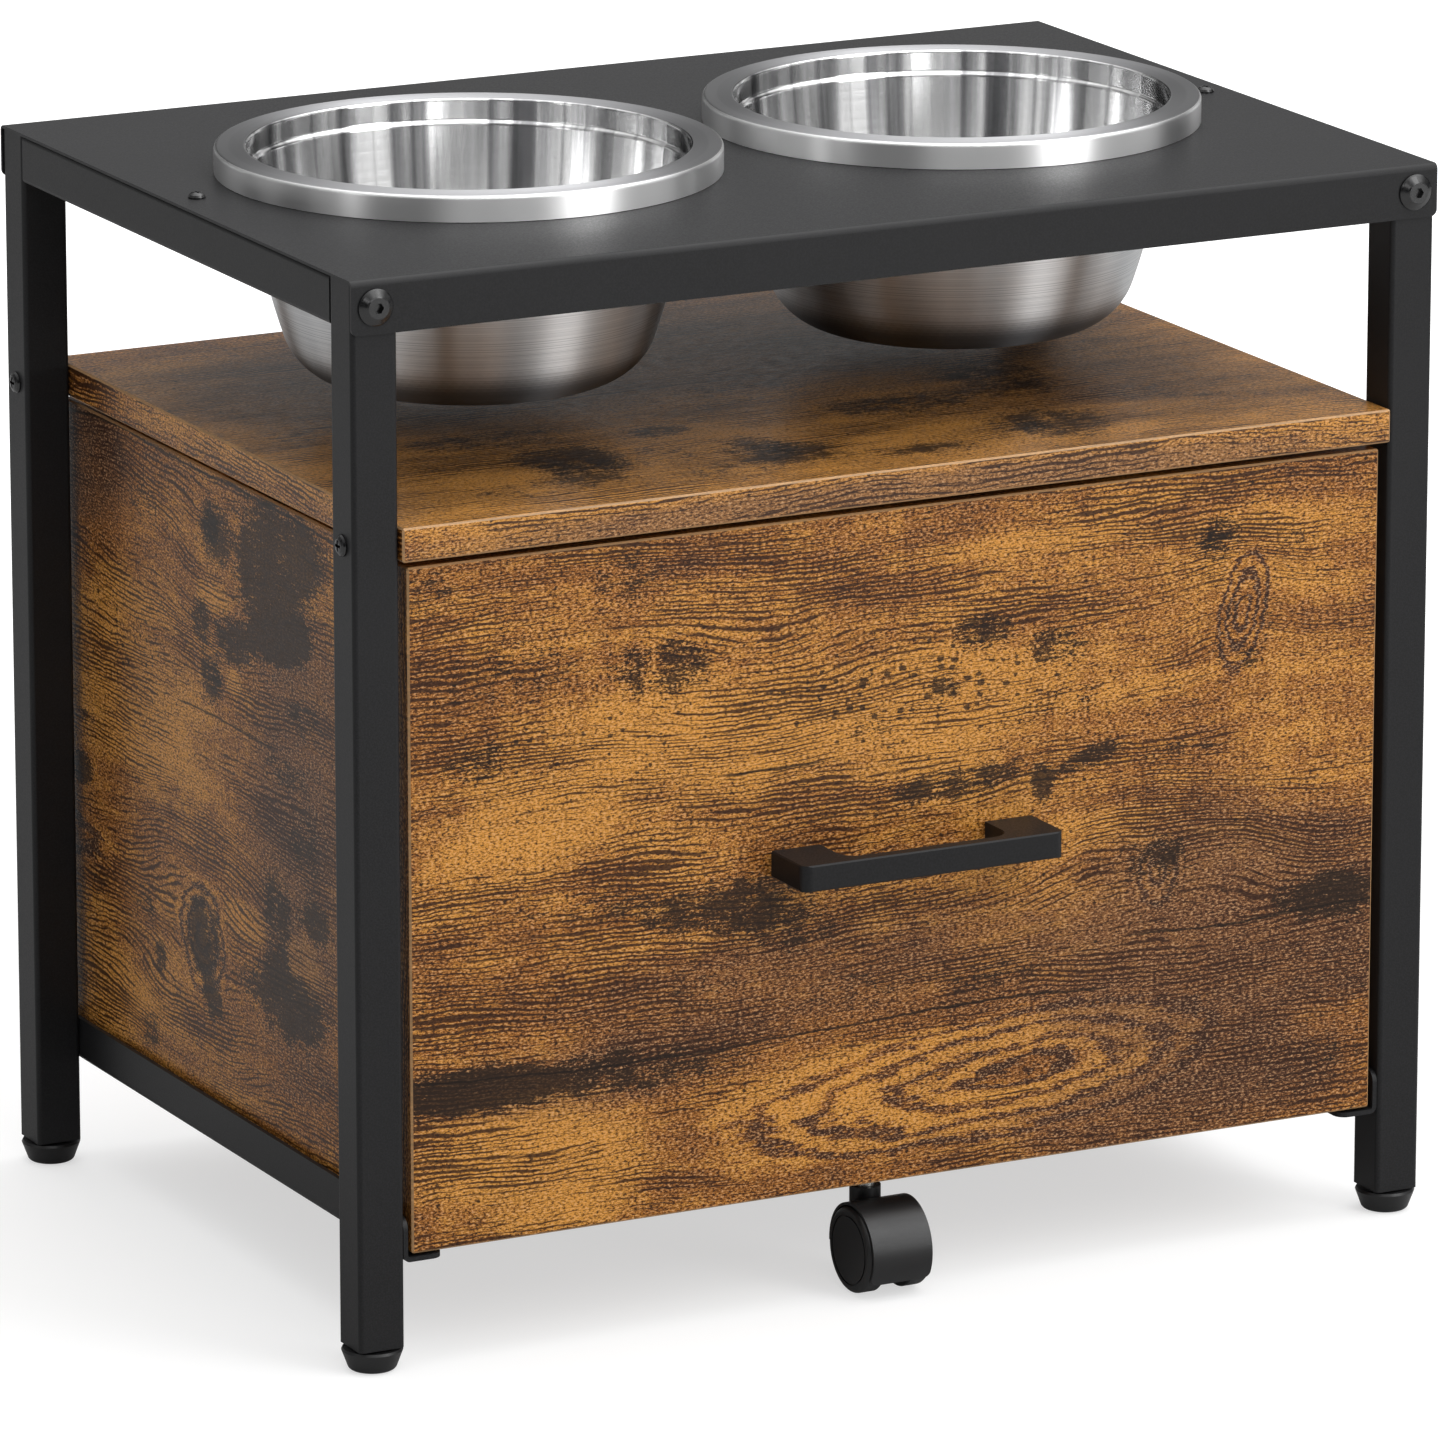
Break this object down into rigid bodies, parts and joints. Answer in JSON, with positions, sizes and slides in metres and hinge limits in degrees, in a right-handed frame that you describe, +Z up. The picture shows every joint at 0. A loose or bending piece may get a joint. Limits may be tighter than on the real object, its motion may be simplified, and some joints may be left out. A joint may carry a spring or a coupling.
{
  "type": "elevated dog feeder with storage",
  "caption": "Steel tube frame with lift-out steel bowls in a sheet steel top, a shelf board and a wood-effect storage drawer that slides out on a swivelling twin-wheel caster.",
  "frame": {"origin": "on the floor, under the middle of the whole feeder with its drawer closed", "axes": "+Z up, -Y towards the person who opens the drawer, +X to that person's right"},
  "size_m": [0.496, 0.3702, 0.46],
  "materials": {
    "powder_coated_steel": "fine-texture black powder coat, matt to satin",
    "laminate_board": "rustic brown wood-effect laminate on particle board, satin",
    "black_fasteners": "black coated steel, satin",
    "zinc_steel": "zinc plated",
    "beech": "plain beech",
    "stainless_steel": "polished inside, satin brushed outside",
    "black_handle": "matt black coat on cast metal",
    "black_plastic": "moulded black plastic"
  },
  "bodies": {
    "frame": {"top_plate": "powder_coated_steel", "left_front_leg": "powder_coated_steel", "left_rear_leg": "powder_coated_steel", "right_front_leg": "powder_coated_steel", "right_rear_leg": "powder_coated_steel", "left_top_rail": "powder_coated_steel", "right_top_rail": "powder_coated_steel", "left_drawer_rail": "powder_coated_steel", "right_drawer_rail": "powder_coated_steel", "shelf_board": "laminate_board", "flange_bolts": "black_fasteners", "weld_nuts": "zinc_steel", "plate_screws": "black_fasteners", "shelf_screws": "black_fasteners", "leg_plugs": "black_plastic"},
    "drawer": {"drawer_front": "laminate_board", "left_drawer_side": "laminate_board", "right_drawer_side": "laminate_board", "drawer_back": "laminate_board", "drawer_bottom": "laminate_board", "drawer_dowels": "beech", "cam_bolts": "zinc_steel", "cam_locks": "zinc_steel", "drawer_screws": "zinc_steel", "handle": "black_handle", "handle_screws": "zinc_steel", "caster_nut": "zinc_steel", "caster_pin": "zinc_steel"},
    "caster_swivel_body": {"caster_hood": "black_plastic", "caster_axle": "zinc_steel"},
    "left_wheel_body": {"left_wheel": "black_plastic"},
    "right_wheel_body": {"right_wheel": "black_plastic"},
    "left_bowl_body": {"left_bowl": "stainless_steel"},
    "right_bowl_body": {"right_bowl": "stainless_steel"},
    "left_front_foot_body": {"left_front_foot": "black_plastic"},
    "left_rear_foot_body": {"left_rear_foot": "black_plastic"},
    "right_front_foot_body": {"right_front_foot": "black_plastic"},
    "right_rear_foot_body": {"right_rear_foot": "black_plastic"}
  },
  "joints": [
    {"name": "drawer_slide", "type": "slide", "parent": "frame", "child": "drawer", "axis": [0, -1, 0], "range_m": [0, 0.28]},
    {"name": "caster_swivel", "type": "hinge", "parent": "drawer", "child": "caster_swivel_body", "pos_m": [-0.005, -0.1351, 0.03], "axis": [0, 0, 1], "continuous": true},
    {"name": "left_wheel_spin", "type": "hinge", "parent": "caster_swivel_body", "child": "left_wheel_body", "pos_m": [-0.005, -0.1491, 0.0183], "axis": [1, 0, 0], "continuous": true},
    {"name": "right_wheel_spin", "type": "hinge", "parent": "caster_swivel_body", "child": "right_wheel_body", "pos_m": [-0.005, -0.1491, 0.0183], "axis": [1, 0, 0], "continuous": true},
    {"name": "left_bowl_lift", "type": "slide", "parent": "frame", "child": "left_bowl_body", "axis": [0, 0, 1], "range_m": [0, 0.12]},
    {"name": "right_bowl_lift", "type": "slide", "parent": "frame", "child": "right_bowl_body", "axis": [0, 0, 1], "range_m": [0, 0.12]},
    {"name": "left_front_foot_turn", "type": "hinge", "parent": "frame", "child": "left_front_foot_body", "pos_m": [-0.2355, -0.1481, 0.02], "axis": [0, 0, 1], "continuous": true},
    {"name": "left_rear_foot_turn", "type": "hinge", "parent": "frame", "child": "left_rear_foot_body", "pos_m": [-0.2355, 0.1709, 0.02], "axis": [0, 0, 1], "continuous": true},
    {"name": "right_front_foot_turn", "type": "hinge", "parent": "frame", "child": "right_front_foot_body", "pos_m": [0.2355, -0.1481, 0.02], "axis": [0, 0, 1], "continuous": true},
    {"name": "right_rear_foot_turn", "type": "hinge", "parent": "frame", "child": "right_rear_foot_body", "pos_m": [0.2355, 0.1709, 0.02], "axis": [0, 0, 1], "continuous": true}
  ]
}
